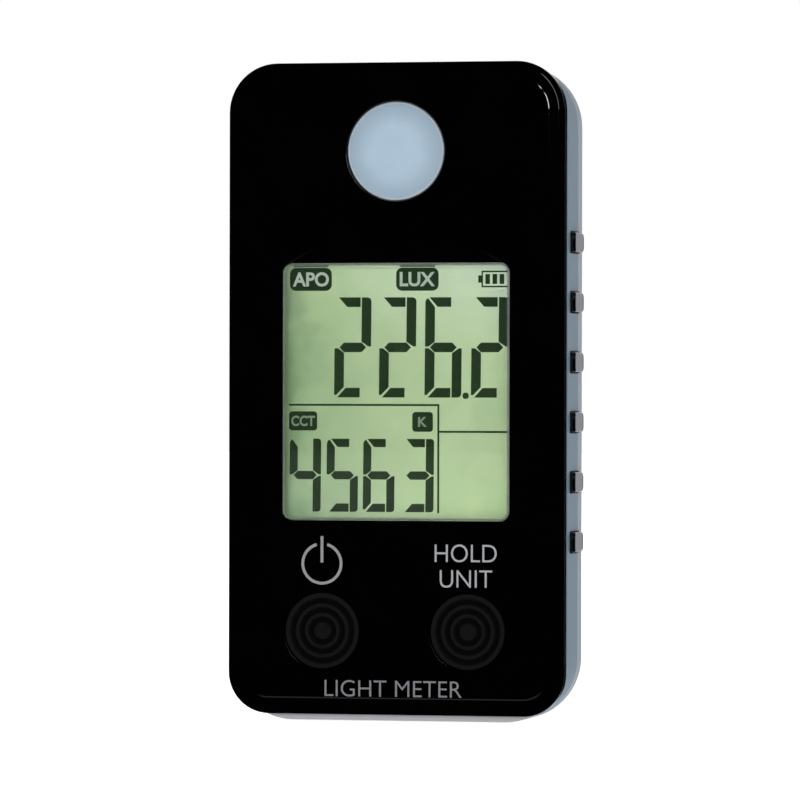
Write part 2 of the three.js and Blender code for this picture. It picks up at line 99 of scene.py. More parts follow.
def aim(thing, target, azimuth, elevation, distance, roll=0.0):
    """Turns an object to its target from a distance. Azimuth 0 is straight in front of the meter."""
    turn, rise = math.radians(azimuth), math.radians(elevation)
    away = Vector((math.sin(turn) * math.cos(rise), -math.cos(turn) * math.cos(rise), math.sin(rise)))
    thing.location = target + away * distance
    thing.rotation_mode = "QUATERNION"
    rolled = Matrix.Rotation(math.radians(roll), 4, "Z").to_quaternion()
    thing.rotation_quaternion = (-away).to_track_quat("-Z", "Y") @ rolled


def make_camera():
    data = bpy.data.cameras.new("camera")
    data.lens = CAMERA_LENS
    data.shift_x, data.shift_y = CAMERA_SHIFT
    data.clip_start = CAMERA_NEAR
    scene.camera = added("camera", data)
    aim(scene.camera, Vector((0, cad_low.y, TARGET_HEIGHT)), *CAMERA_ANGLES, CAMERA_DISTANCE, CAMERA_ROLL)


make_camera()

# ---- sizes, in drawn millimetres

UPRIGHT = Matrix(((MM, 0, 0, 0), (0, 0, -MM, 0), (0, MM, 0, 0), (0, 0, 0, 1)))


def drawn(node):
    """A CAD node's lowest and highest corners, drawn, in millimetres."""
    low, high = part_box(node)
    return Vector((low.x, low.z, -high.y)) / MM, Vector((high.x, high.z, -low.y)) / MM


Rounded = namedtuple("Rounded", "half_width low high radius x low_radius", defaults=(0, None))

COVER_LOW, COVER_HIGH = drawn("front_cover")
REAR_LOW, REAR_HIGH = drawn("rear_cover")
FACE_UPPER_RADIUS = 7.5
FACE_LOWER_RADIUS = 6.3
BODY_CORNER_RADIUS = 9.5
FACE = Rounded(COVER_HIGH.x, COVER_LOW.y, COVER_HIGH.y, FACE_UPPER_RADIUS, low_radius=FACE_LOWER_RADIUS)
SHELL = Rounded(REAR_HIGH.x, REAR_LOW.y, REAR_HIGH.y, BODY_CORNER_RADIUS)

INK_DEPTH = 0.02
INK_ROOM = 0.03
FACE_Z = COVER_HIGH.z - INK_ROOM
BACK_Z = REAR_LOW.z
FRONT_SEAM = 4.9
REAR_SEAM = -3.2
HALF_SEAM = 0.05
COVER_WALL = 1.6
FRAME_WALL = 1.8
FRONT_INSIDE = 6.0
BACK_INSIDE = -6.0

WINDOW = Rounded(17.72, 30.46, 69.54, 1.5)
SENSOR_RADIUS = 7.6
KEY_OPENING = 6.0
DOOR = Rounded(13, 21, 52, 2)
DOOR_GAP = 0.2
DOOR_HINGE_RADIUS = 2.6
LABEL = Rounded(18, 66, 84, 1)
SCREW_NODES = [f"case_screw_{number}" for number in range(1, 5)]


def middle(node):
    low, high = drawn(node)
    return (low + high) / 2


SENSOR = middle("diffuser")
KEYS = {"power_key": "power_button", "hold_key": "hold_button"}

# ---- mesh kit

CORNER_STEPS = 14
ROUND_STEPS = 72
FINE_STEPS = 96
SHARPEST_CORNER = 0.05
ON_AXIS = 0.002
MERGE_DISTANCE = 1e-5
WELD_DISTANCE = 1e-4
SHARP_ANGLE = math.radians(38)
BEVEL_ANGLE = math.radians(50)


def outline(shape, inset=0.0, steps=CORNER_STEPS):
    """A rounded rectangle's points, anticlockwise, drawn in from its edge by an inset."""
    upper = max(shape.radius - inset, SHARPEST_CORNER)
    lower = max((shape.low_radius or shape.radius) - inset, SHARPEST_CORNER)
    edge = shape.half_width - inset
    top, bottom = shape.high - inset - upper, shape.low + inset + lower
    corners = (
        (edge - upper, top, upper), (upper - edge, top, upper),
        (lower - edge, bottom, lower), (edge - lower, bottom, lower),
    )
    points = []
    for corner, (x, y, radius) in enumerate(corners):
        for step in range(steps + 1):
            angle = (corner + step / steps) * math.pi / 2
            points.append((shape.x + x + radius * math.cos(angle), y + radius * math.sin(angle)))
    return points


def rectangle(x0, x1, y0, y1, radius=0.0):
    if radius == 0:
        return [(x0, y0), (x1, y0), (x1, y1), (x0, y1)]
    return outline(Rounded((x1 - x0) / 2, y0, y1, radius, (x0 + x1) / 2), steps=5)


def circle(x, y, radius, steps=ROUND_STEPS):
    turns = [math.tau * step / steps for step in range(steps)]
    return [(x + radius * math.cos(turn), y + radius * math.sin(turn)) for turn in turns]


def softened(path, radii, steps=4):
    """An open path with each inner corner rounded to its own radius."""
    points = [Vector(path[0])]
    for before, corner, after, radius in zip(path, path[1:], path[2:], radii):
        corner = Vector(corner)
        back = (Vector(before) - corner).normalized()
        ahead = (Vector(after) - corner).normalized()
        turn = math.pi - back.angle(ahead)
        centre = corner + (back + ahead).normalized() * radius / math.cos(turn / 2)
        start = corner + back * radius * math.tan(turn / 2) - centre
        first = math.atan2(start.y, start.x)
        side = 1 if ahead.cross(back) < 0 else -1
        for step in range(steps + 1):
            angle = first - side * turn * step / steps
            points.append(centre + Vector((math.cos(angle), math.sin(angle))) * radius)
    points.append(Vector(path[-1]))
    return points


class Surface:
    """Rings of drawn points and the faces between them."""

    def __init__(self):
        self.points = []
        self.faces = []

    def ring(self, points, z):
        start = len(self.points)
        self.points += [(x, y, z) for x, y in points]
        return list(range(start, len(self.points)))

    def bridge(self, *rings):
        for one, other in zip(rings, rings[1:]):
            count = len(one)
            for i in range(count):
                after = (i + 1) % count
                self.faces.append((one[i], one[after], other[after], other[i]))

    def cap(self, outer, *holes):
        order = [index for ring in (outer, *holes) for index in ring]
        loops = [[Vector(self.points[index]) for index in ring] for ring in (outer, *holes)]
        for triangle in tessellate_polygon(loops):
            self.faces.append([order[index] for index in triangle])

    def mesh(self, name):
        made = bpy.data.meshes.new(name)
        made.from_pydata(self.points, [], self.faces)
        return welded(made, MERGE_DISTANCE)


def welded(mesh, distance):
    """The mesh with points closer than a distance merged, so that it closes."""
    bm = bmesh.new()
    bm.from_mesh(mesh)
    bmesh.ops.remove_doubles(bm, verts=bm.verts, dist=distance)
    bmesh.ops.recalc_face_normals(bm, faces=bm.faces)
    bm.to_mesh(mesh)
    bm.free()
    return mesh


def stacked(name, levels):
    """A solid through flat outlines, each (points, z), closed at both ends."""
    surface = Surface()
    rings = [surface.ring(points, z) for points, z in levels]
    surface.bridge(*rings)
    surface.cap(rings[0])
    surface.cap(rings[-1])
    return surface.mesh(name)


def prism(name, points, low, high):
    return stacked(name, [(points, low), (points, high)])


def block(name, x0, x1, y0, y1, z0, z1):
    return prism(name, rectangle(x0, x1, y0, y1), z0, z1)


def crossed_bars(x, y, arm, half, low, high):
    sizes = ((arm, half), (half, arm))
    return [block("bar", x - w, x + w, y - h, y + h, low, high) for w, h in sizes]


def lofted(name, shape, levels, steps=CORNER_STEPS):
    """A solid whose rounded-rectangle section follows (inset, z) levels between two flat ends."""
    return stacked(name, [(outline(shape, inset, steps), z) for inset, z in levels])


def turned(name, profile, x, y, steps=ROUND_STEPS):
    """A solid turned about a z axis, from (radius, z) points that start and end on it."""
    return stacked(name, [(circle(x, y, max(radius, ON_AXIS), steps), z) for radius, z in profile])


def baked(temporary):
    """A temporary object's final mesh; the object itself is removed."""
    finished = temporary.evaluated_get(bpy.context.evaluated_depsgraph_get())
    mesh = bpy.data.meshes.new_from_object(finished)
    bpy.data.objects.remove(temporary)
    return mesh


def carved(base, add=(), cut=()):
    """The base mesh with some solids joined to it and others cut away."""
    work = added("work", base)
    tools = []
    for operation, meshes in (("UNION", add), ("DIFFERENCE", cut)):
        for mesh in meshes:
            tool = added("tool", mesh)
            tools.append(tool)
            modifier = work.modifiers.new("carve", "BOOLEAN")
            modifier.operation = operation
            modifier.object = tool
            modifier.solver = "MANIFOLD"
    made = baked(work)
    for tool in tools:
        bpy.data.objects.remove(tool)
    return made


def joined(name, meshes):
    bm = bmesh.new()
    for mesh in meshes:
        bm.from_mesh(mesh)
    made = bpy.data.meshes.new(name)
    bm.to_mesh(made)
    bm.free()
    return made


def carry(mesh, attribute, values):
    """Gives each point of a mesh a value that its material reads."""
    mesh.attributes.new(attribute, "FLOAT", "POINT").data.foreach_set("value", values)


def place(name, mesh, slot, body="case", stands_for=(), bevel=0.0, material=None):
    """Stands a drawn mesh upright as a piece that rides on a body, in its slot's look or its own."""
    mesh.transform(UPRIGHT)
    mesh.name = name
    mesh.materials.clear()
    mesh.materials.append(material or LOOKS[slot])
    mesh.shade_smooth()
    mesh.set_sharp_from_angle(angle=SHARP_ANGLE)
    piece = added(name, mesh)
    if bevel:
        rounding = piece.modifiers.new("rounded_edges", "BEVEL")
        rounding.width = bevel * MM
        rounding.segments = 2
        rounding.limit_method = "ANGLE"
        rounding.angle_limit = BEVEL_ANGLE
        rounding.miter_outer = "MITER_ARC"
    weighted = piece.modifiers.new("flat_faces_stay_flat", "WEIGHTED_NORMAL")
    weighted.keep_sharp = True
    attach(piece, body)
    if stands_for:
        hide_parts(*stands_for)
    return piece


# ---- materials


def srgb(red, green, blue):
    """Linear colour from 0-255 display values."""
    def linear(value):
        share = value / 255
        return share / 12.92 if share <= 0.04045 else ((share + 0.055) / 1.055) ** 2.4
    return (linear(red), linear(green), linear(blue), 1.0)


def shaded(colour, factor):
    return (colour[0] * factor, colour[1] * factor, colour[2] * factor, 1.0)


class Nodes:
    """Adds nodes to one tree and links them."""

    def __init__(self, tree):
        self.tree = tree

    def node(self, kind, inputs=None, **settings):
        """A new node; an input is either a plain value or the socket that drives it."""
        made = self.tree.nodes.new(kind)
        for key, value in settings.items():
            setattr(made, key, value)
        for key, value in (inputs or {}).items():
            if isinstance(value, bpy.types.NodeSocket):
                self.tree.links.new(value, made.inputs[key])
            else:
                made.inputs[key].default_value = value
        return made

    def ramp(self, value, low, high, start=0.3, end=0.7, smooth=False):
        """Goes from low to high while the value goes from start to end."""
        kind = "SMOOTHSTEP" if smooth else "LINEAR"
        made = self.node("ShaderNodeMapRange", {
            "Value": value, "From Min": start, "From Max": end, "To Min": low, "To Max": high,
        }, interpolation_type=kind)
        return made.outputs["Result"]

    def rise(self, value, reach):
        return self.ramp(value, 0, 1, *reach, smooth=True)

    def combine(self, operation, first, *others):
        for other in others:
            made = self.node("ShaderNodeMath", {0: first, 1: other}, operation=operation)
            first = made.outputs["Value"]
        return first


class Look(Nodes):
    """A procedural material on one Principled shader. Sizes are in millimetres."""

    def __init__(self, name, **sockets):
        self.material = bpy.data.materials.new(name)
        self.material.use_nodes = True
        super().__init__(self.material.node_tree)
        self.shader = self.tree.nodes["Principled BSDF"]
        for socket, value in sockets.items():
            self.shader.inputs[socket.replace("_", " ")].default_value = value

    def where(self):
        return self.node("ShaderNodeTexCoord").outputs["Object"]

    def along(self, axis):
        return self.node("ShaderNodeSeparateXYZ", {"Vector": self.where()}).outputs[axis]

    def distance(self, centre):
        made = self.node("ShaderNodeVectorMath", {0: self.where(), 1: centre}, operation="DISTANCE")
        return made.outputs["Value"]

    def carried(self, attribute):
        """A value that the mesh carries from point to point."""
        return self.node("ShaderNodeAttribute", attribute_name=attribute).outputs["Fac"]

    def grain(self, size, detail=2.0, stretch=(1, 1, 1)):
        """Noise with features of about this size."""
        scaled = self.node("ShaderNodeMapping", {"Vector": self.where(), "Scale": stretch})
        noise = self.node("ShaderNodeTexNoise", {
            "Vector": scaled.outputs["Vector"], "Scale": 1 / (size * MM), "Detail": detail,
        })
        return noise.outputs["Fac"]

    def blend(self, share, one, other):
        made = self.node("ShaderNodeMix", {0: share, 6: one, 7: other}, data_type="RGBA")
        return made.outputs[2]

    def mottled(self, size, detail, one, other):
        """Two colours that mix in a noise."""
        return self.blend(self.ramp(self.grain(size, detail), 0, 1), one, other)

    def feed(self, socket, value):
        self.tree.links.new(value, self.shader.inputs[socket])

    def finished(self, colour, gloss, rough, relief, depth, gloss_range=(0.3, 0.7)):
        """The material, given its varied colour, uneven roughness and relief."""
        if colour:
            self.feed("Base Color", colour)
        self.feed("Roughness", self.ramp(gloss, *rough, *gloss_range))
        bump = self.node("ShaderNodeBump", {"Height": relief, "Distance": depth * MM, "Strength": 1.0})
        self.feed("Normal", bump.outputs["Normal"])
        return self.material


def plain_look(name, dark, pale, size, rough, depth):
    """A moulded or coated surface: two close tones, uneven gloss and light relief."""
    look = Look(name)
    tone = look.mottled(size * 4, 4.0, dark, pale)
    return look.finished(tone, look.grain(size * 2), rough, look.grain(size), depth)


def gloss_black(name, tone=0.0003, **sockets):
    """Polished black plastic, slightly uneven and not quite flat."""
    look = Look(name, **sockets)
    cool = (1, 1, 1.1)
    colour = look.mottled(9, 3.0, shaded(cool, tone), shaded(cool, tone * 1.6))
    return look.finished(colour, look.grain(5, 5.0), (0.02, 0.045), look.grain(1.6, 1.0), 0.0006)


FLAKE_SIZE = 0.07
PAINTED_FOOT_LIGHT_FADE = (0.8 * MM, 1.4 * MM)


def silver_paint(name, colour, foot=None):
    """Silver paint: fine flakes that differ in tone and gloss. A paler foot colour along the lowest
    millimetre is painted light on the lip."""
    look = Look(name, Metallic=0.25)
    flakes = look.node("ShaderNodeTexVoronoi", {"Vector": look.where(), "Scale": 1 / (FLAKE_SIZE * MM)})
    flake = look.node("ShaderNodeSeparateColor", {"Color": flakes.outputs["Color"]}).outputs["Red"]
    cloud = look.ramp(look.grain(4, 3.0), 0, 0.15)
    tone = look.combine("ADD", look.ramp(flake, 0.05, 0.8, 0, 1), cloud)
    paint = look.blend(tone, shaded(colour, 0.93), shaded(colour, 1.07))
    # Painted light: the lowest millimetre blends to the pale foot colour, as if lit from the table.
    if foot:
        paint = look.blend(look.ramp(look.along("Z"), 1, 0, *PAINTED_FOOT_LIGHT_FADE), paint, foot)
    return look.finished(paint, flake, (0.32, 0.42), look.grain(0.35, 2.0), 0.0025, (0, 1))


def key_rubber():
    """Matt silicone, paler on its raised rings and darker in its grooves: painted highlight on the rings and
    painted shade in the grooves.
    """
    look = Look("key_rubber", Specular_IOR_Level=0.12)
    speck = look.ramp(look.grain(0.25, 3.0), -0.18, 0.18)
    # Painted light: the dark tone in the grooves is painted shade, the pale tone on the raised rings a
    # painted highlight.
    tone = look.blend(look.combine("ADD", look.carried("raised"), speck), srgb(5, 5, 5), srgb(20, 20, 20))
    return look.finished(tone, look.grain(0.3), (0.62, 0.8), look.grain(0.12), 0.008)


DIFFUSER_PAINTED_SHADE = (3.5 * MM, 6.9 * MM)
DIFFUSER_RIM_HIGHLIGHT = (7.05 * MM, 7.3 * MM)


def opal_diffuser():
    """Opal plastic, with painted shade that darkens it towards its edge and a painted highlight that makes
    the very rim paler.
    """
    look = Look("opal_diffuser", Subsurface_Weight=0.25, Subsurface_Scale=0.0015)
    look.shader.inputs["Subsurface Radius"].default_value = (1.0, 1.0, 1.0)
    reach = look.distance(Vector((SENSOR.x, -FACE_Z, SENSOR.y)) * MM)
    # Painted light: a darker colour towards the edge as painted shade, a paler one on the rim as a painted
    # highlight.
    painted_edge_shade, painted_rim_highlight = look.rise(reach, DIFFUSER_PAINTED_SHADE), look.rise(reach, DIFFUSER_RIM_HIGHLIGHT)
    disc = look.mottled(3.5, 3.0, srgb(177, 199, 216), srgb(183, 205, 221))
    tone = look.blend(painted_rim_highlight, look.blend(painted_edge_shade, disc, srgb(161, 181, 197)), srgb(188, 198, 204))
    return look.finished(tone, look.grain(0.8, 3.0), (0.42, 0.55), look.grain(0.15), 0.003)


def clear_pane():
    """Clear, faintly green plastic, slightly uneven."""
    look = Look("clear_pane", Base_Color=(0.97, 0.985, 0.975, 1), Transmission_Weight=1.0, IOR=1.49)
    return look.finished(None, look.grain(7, 4.0), (0.0, 0.03), look.grain(9, 1.0), 0.0004)


def window_border():
    """The window's ground edge, fading inwards to clear."""
    look = Look("window_border")
    look.feed("Alpha", look.ramp(look.carried("edge"), 0, 0.92, 0, 1, smooth=True))
    tone = look.mottled(0.4, 4.0, srgb(120, 130, 128), srgb(140, 148, 146))
    return look.finished(tone, look.grain(0.5), (0.3, 0.45), look.grain(0.08), 0.002)


DISPLAY_GAIN = 1.33
DISPLAY_STOPS = (0.0, 0.16, 0.45, 0.8, 1.0)
# Each set runs left to right and is darker at the left as painted shade; the upper and lower sets are lighter
# as painted light near the window's top and foot.
DISPLAY_TONES_WITH_PAINTED_LIGHT = {
    "lower": ((152, 180, 140), (178, 202, 162), (192, 214, 172), (202, 226, 172), (186, 212, 160)),
    "middle": ((137, 165, 123), (165, 190, 147), (182, 203, 159), (191, 213, 168), (176, 199, 155)),
    "upper": ((154, 176, 140), (182, 206, 156), (200, 220, 184), (208, 226, 194), (198, 216, 194)),
}
PAINTED_TOP_LIGHT_FROM = 0.55
PAINTED_FOOT_LIGHT_TO = 0.3


def display_face():
    """The greenish display, with painted light: darker towards its left edge as painted shade, and lighter
    near its top and foot, painted to make up for the shade of the window's rim.
    """
    look = Look("display_face", Specular_IOR_Level=0.15)
    across = look.ramp(look.along("X"), 0, 1, -WINDOW.half_width * MM, WINDOW.half_width * MM)
    cloud = look.ramp(look.grain(7, 3.0), -0.12, 0.12)
    shades = {}
    for level, tones in DISPLAY_TONES_WITH_PAINTED_LIGHT.items():
        made = look.node("ShaderNodeValToRGB", {"Fac": look.combine("ADD", across, cloud)})
        elements = made.color_ramp.elements
        while len(elements) < len(tones):
            elements.new(0.5)
        for element, position, tone in zip(elements, DISPLAY_STOPS, tones):
            element.position = position
            element.color = shaded(srgb(*tone), DISPLAY_GAIN)
        shades[level] = made.outputs["Color"]

    def height(share):
        return (WINDOW.low + share * (WINDOW.high - WINDOW.low)) * MM

    # Painted light: the upper and lower sets blend in towards the window's top and foot.
    painted_top_light = look.rise(look.along("Z"), (height(PAINTED_TOP_LIGHT_FROM), height(1)))
    painted_foot_light = look.ramp(look.along("Z"), 1, 0, height(0), height(PAINTED_FOOT_LIGHT_TO), smooth=True)
    body = look.blend(painted_foot_light, shades["middle"], shades["lower"])
    tone = look.blend(painted_top_light, body, shades["upper"])
    return look.finished(tone, look.grain(0.2), (0.35, 0.5), look.grain(0.09), 0.002)


def printed(name, colour, variation=0.12, rough=(0.4, 0.6)):
    """Screen-printed ink with its fine mesh grain."""
    look = Look(name, Specular_IOR_Level=0.2)
    tone = look.mottled(0.3, 3.0, shaded(colour, 1 - variation), shaded(colour, 1 + variation))
    return look.finished(tone, look.grain(0.2), rough, look.grain(0.1), 0.002)


def plated(name, colour, rough, stretch=(1, 12, 1)):
    """Plated steel with fine drawn or turned lines."""
    look = Look(name, Metallic=1.0)
    lines = look.grain(0.25, 5.0, stretch)
    tone = look.mottled(2, 3.0, shaded(colour, 0.85), shaded(colour, 1.08))
    return look.finished(tone, lines, rough, lines, 0.004)


def circuit_green():
    """Solder mask with paler tracks showing under it."""
    look = Look("circuit_green", Coat_Weight=0.3, Coat_Roughness=0.2)
    facing = look.node("ShaderNodeMapping", {"Vector": look.where(), "Rotation": (math.pi / 2, 0, 0)})
    tracks = look.node("ShaderNodeTexBrick", {
        "Vector": facing.outputs["Vector"],
        "Color1": srgb(22, 84, 44), "Color2": srgb(26, 92, 50), "Mortar": srgb(38, 120, 66),
        "Scale": 1 / (4 * MM), "Mortar Size": 0.05,
    }).outputs
    tone = look.blend(look.ramp(look.grain(0.5, 4.0), 0, 0.25), tracks["Color"], srgb(14, 60, 32))
    return look.finished(tone, look.grain(0.6), (0.3, 0.5), tracks["Fac"], 0.02)


# Plain surfaces by slot: darker tone, paler tone, grain in millimetres, roughness range, relief.
PLAIN_LOOKS = {
    "mat_rubber": ((36, 36, 37), (46, 46, 47), 0.15, (0.6, 0.8), 0.01),
    "lcd_reflector": ((215, 220, 208), (228, 232, 220), 0.1, (0.35, 0.5), 0.004),
    "white_plastic": ((216, 216, 210), (230, 230, 224), 0.2, (0.45, 0.6), 0.006),
    "dark_plastic": ((38, 39, 41), (50, 51, 53), 0.2, (0.45, 0.65), 0.01),
    "foam": ((22, 22, 22), (40, 40, 40), 0.12, (0.85, 1.0), 0.06),
    "chip_black": ((24, 24, 26), (34, 34, 36), 0.1, (0.4, 0.6), 0.006),
    "ceramic": ((160, 134, 100), (184, 156, 120), 0.1, (0.4, 0.6), 0.006),
    "filter_glass": ((150, 182, 196), (166, 198, 210), 0.5, (0.05, 0.12), 0.001),
    "carbon": ((16, 16, 16), (26, 26, 26), 0.08, (0.75, 0.95), 0.01),
}
LOOKS = {
    "gloss_black": gloss_black("gloss_black"),
    # The side's second colour is painted light along its lowest millimetre.
    "side_silver": silver_paint("side_silver", srgb(157, 179, 196), srgb(214, 214, 218)),
    "rear_silver": silver_paint("rear_silver", srgb(203, 212, 221)),
    "grip_black": gloss_black("grip_black", 0.0006, Specular_Tint=(0.82, 0.93, 1, 1)),
    "key_rubber": key_rubber(),
    "clear_window": clear_pane(),
    "opal_diffuser": opal_diffuser(),
    "lcd_glass": display_face(),
    "board_green": circuit_green(),
    "cell_steel": plated("cell_steel", (0.62, 0.62, 0.61), (0.18, 0.34)),
    "screw_steel": plated("screw_steel", (0.45, 0.45, 0.46), (0.25, 0.45), stretch=(1, 1, 1)),
    "contact_steel": plated("contact_steel", (0.66, 0.6, 0.44), (0.2, 0.35)),
    "label_film": printed("label_film", srgb(226, 229, 231), 0.03, (0.35, 0.5)),
}
for slot, (dark, pale, size, rough, depth) in PLAIN_LOOKS.items():
    LOOKS[slot] = plain_look(slot, srgb(*dark), srgb(*pale), size, rough, depth)


def dress_cad_nodes():
    """Gives every CAD node the look of its slot."""
    slots = {row["node"]: row["material_slot"] for row in frame["record"]["subparts"]}
    for node, piece in frame["nodes"].items():
        piece.data.materials.clear()
        piece.data.materials.append(LOOKS[slots[node]])


# ---- housing

FACE_EDGE = ((0, 0.5), (0.8, 0.2), (2.5, 0.0))
FACE_EDGE_RADII = (0.18, 1.5, 5)
COVER_UNDERCUT = 0.08
HOLE_ROUNDING = 0.06
SENSOR_ROUNDING = 0.2
WELL_INSIDE = 8
OVERRUN = 1


def rounding(radius, face_z, inside_z, steps=4):
    """(growth, z) levels of a hole whose rim is rounded where it meets the face."""
    away = math.copysign(radius, inside_z - face_z)
    angles = [step / steps * math.pi / 2 for step in range(steps + 1)]
    levels = [(radius * (1 - math.sin(angle)), face_z + away * (1 - math.cos(angle))) for angle in angles]
    return [*levels, (0, inside_z)]


def cover(name, shape, path, inside_z, openings):
    """A tray whose outer side follows an (inset, z) path from its seam to its face. An opening is a
    list of (points, z), and goes through the face if it ends at the tray's inside."""
    surface = Surface()
    rim = [surface.ring(outline(shape, inset), z) for inset, z in path]
    inner = [surface.ring(outline(shape, COVER_WALL), z) for z in (inside_z, path[0][1])]
    surface.bridge(*rim)
    surface.bridge(*inner, rim[0])
    face_holes, inside_holes = [], []
    for opening in openings:
        rings = [surface.ring(points, z) for points, z in opening]
        surface.bridge(*rings)
        face_holes.append(rings[0])
        if opening[-1][1] == inside_z:
            inside_holes.append(rings[-1])
        else:
            surface.cap(rings[-1])
    surface.cap(rim[-1], *face_holes)
    surface.cap(inner[0], *inside_holes)
    return surface.mesh(name)


def front_shell():
    """Glossy front cover: a soft roll round its rim and rounded openings."""
    roll = [(inset, FACE_Z - drop) for inset, drop in FACE_EDGE]
    path = [(COVER_UNDERCUT, FRONT_SEAM + HALF_SEAM), *roll, (WELL_INSIDE, FACE_Z)]
    openings = [[(outline(WINDOW, -grow), z) for grow, z in rounding(HOLE_ROUNDING, FACE_Z, FRONT_INSIDE)]]
    round_holes = [(SENSOR, SENSOR_RADIUS, SENSOR_ROUNDING, FINE_STEPS)]
    round_holes += [(middle(key), KEY_OPENING, HOLE_ROUNDING, ROUND_STEPS) for key in KEYS]
    for spot, radius, softness, steps in round_holes:
        levels = rounding(softness, FACE_Z, FRONT_INSIDE)
        openings.append([(circle(spot.x, spot.y, radius + grow, steps), z) for grow, z in levels])
    mesh = cover("front_shell", FACE, softened(path, FACE_EDGE_RADII, 8)[:-1], FRONT_INSIDE, openings)
    place("front_shell", mesh, "gloss_black", stands_for=["front_cover"])


RIB_COUNT = 6
RIB_PITCH = 9.1
RIB = Rounded(1.5, -3.5, 3.5, 0.9)
RIB_MIDDLE_Z = -0.9
RIB_GAP = 0.15
RIB_ROUNDING = 0.32
RIB_STEPS = [i - (RIB_COUNT - 1) / 2 for i in range(RIB_COUNT)]
RIB_HEIGHTS = [(WINDOW.low + WINDOW.high) / 2 + step * RIB_PITCH for step in RIB_STEPS]
RIB_SPACE_REACH = (22, 30)
BAND_THICKNESS = 0.9
BAND_MARGIN = 1.6
RIB_ROOT = 0.4


def rib_spaces(low, high):
    """The clearances round the ribs, as cutters between two depths."""
    half = RIB.half_width + RIB_GAP
    spaces = []
    for side in (-1, 1):
        near, far = sorted(side * x for x in RIB_SPACE_REACH)
        spaces += [block("rib_space", near, far, y - half, y + half, low, high) for y in RIB_HEIGHTS]
    return spaces


FRAME_CHAMFER = 0.16
TONGUE_OUTER = COVER_WALL + 0.3
TONGUE_INNER = COVER_WALL + 1.1
TONGUE_REACH = 0.75
TONGUE_ROOT = 1.4
ROOT_SLOPE = 0.1


def side_frame():
    """Silver frame between the covers, with a tongue into each and a slot for every grip rib."""
    front, back = FRONT_SEAM - HALF_SEAM, REAR_SEAM + HALF_SEAM

    def tongue(shape, seam, way):
        reach, root = seam + way * TONGUE_REACH, seam - way * TONGUE_ROOT
        return [
            (shape, TONGUE_OUTER, seam), (shape, TONGUE_OUTER, reach), (shape, TONGUE_INNER, reach),
            (shape, TONGUE_INNER, root), (SHELL, FRAME_WALL, root - way * ROOT_SLOPE),
        ]

    section = [(SHELL, 0, back), (SHELL, 0, front - FRAME_CHAMFER), (SHELL, FRAME_CHAMFER, front)]
    section += [*tongue(FACE, front, 1), *reversed(tongue(SHELL, back, -1))]
    surface = Surface()
    rings = [surface.ring(outline(shape, inset), z) for shape, inset, z in section]
    surface.bridge(*rings, rings[0])
    front_of_rib = RIB_MIDDLE_Z + RIB.high + RIB_GAP
    mesh = carved(surface.mesh("side_frame"), cut=rib_spaces(back - 2 * OVERRUN, front_of_rib))
    place("side_frame", mesh, "side_silver", stands_for=["mid_frame"], bevel=0.09)


def rib(side, y, root, tip):
    """One grip rib, rising along x from its root to a softly rounded top."""
    path = softened([(0, root), (0, tip), (WELL_INSIDE, tip)], (RIB_ROUNDING,), 5)[:-1]
    mesh = lofted("rib", RIB, path, 6)
    # Drawn with its height along z: z becomes side * x, x becomes y, and y becomes z.
    mesh.transform(Matrix(((0, 0, side, 0), (1, 0, 0, y), (0, 1, 0, RIB_MIDDLE_Z), (0, 0, 0, 1))))
    if side < 0:
        mesh.flip_normals()
    return mesh


def grips():
    """A hidden band on each side, with ribs that stand out through the frame."""
    for side, node in ((-1, "grip_strip_left"), (1, "grip_strip_right")):
        low, high = drawn(node)
        inner, tip = sorted((abs(low.x), abs(high.x)))
        near, far = sorted((side * inner, side * (inner + BAND_THICKNESS)))
        band = block("band", near, far, low.y, high.y, REAR_SEAM + BAND_MARGIN, FRONT_SEAM - BAND_MARGIN)
        ribs = [rib(side, y, inner + RIB_ROOT, tip) for y in RIB_HEIGHTS]
        place(node.replace("strip", "ribs"), carved(band, add=ribs), "grip_black", stands_for=[node])


REAR_ROLL = 1.2
COUNTERBORE = 2.2
COUNTERBORE_FLOOR = -5.7
SCREW_HOLE = 1.15
SCREW_POST = 3.0
BACK_ROUNDING = 0.15
LABEL_ROUNDING = 0.08
LABEL_DEPTH = 0.3
NOTCH = Rounded(5, DOOR.high - 2, DOOR.high + 3.4, 2.4)
NOTCH_FLOOR = ((0, 0.55), (0.25, 0.8))


def back_shell():
    """Silver rear cover with its battery opening, label recess, thumb notch and sunk screw posts."""
    path = [(0, REAR_SEAM - HALF_SEAM), (0, BACK_Z), (WELL_INSIDE, BACK_Z)]
    openings = [
        [(outline(DOOR, -grow), z) for grow, z in rounding(BACK_ROUNDING, BACK_Z, BACK_INSIDE)],
        [(outline(LABEL, -grow), z) for grow, z in rounding(LABEL_ROUNDING, BACK_Z, BACK_Z + LABEL_DEPTH)],
    ]
    for node in SCREW_NODES:
        spot = middle(node)
        levels = [(COUNTERBORE + grow, z) for grow, z in rounding(BACK_ROUNDING, BACK_Z, COUNTERBORE_FLOOR)]
        levels += [(SCREW_HOLE, COUNTERBORE_FLOOR), (SCREW_HOLE, REAR_SEAM)]
        levels += [(SCREW_POST, REAR_SEAM), (SCREW_POST, BACK_INSIDE)]
        openings.append([(circle(spot.x, spot.y, radius, 48), z) for radius, z in levels])
    tray = cover("back_shell", SHELL, softened(path, (REAR_ROLL,), 10)[:-1], BACK_INSIDE, openings)
    notch_floor = [(inset, BACK_Z + depth) for inset, depth in NOTCH_FLOOR]
    notch = lofted("notch", NOTCH, [(0, BACK_Z - OVERRUN), *notch_floor])
    slots = rib_spaces(RIB_MIDDLE_Z + RIB.low - RIB_GAP, REAR_SEAM + OVERRUN)
    mesh = carved(tray, cut=[notch, *slots])
    place("back_shell", mesh, "rear_silver", stands_for=["rear_cover"], bevel=0.07)


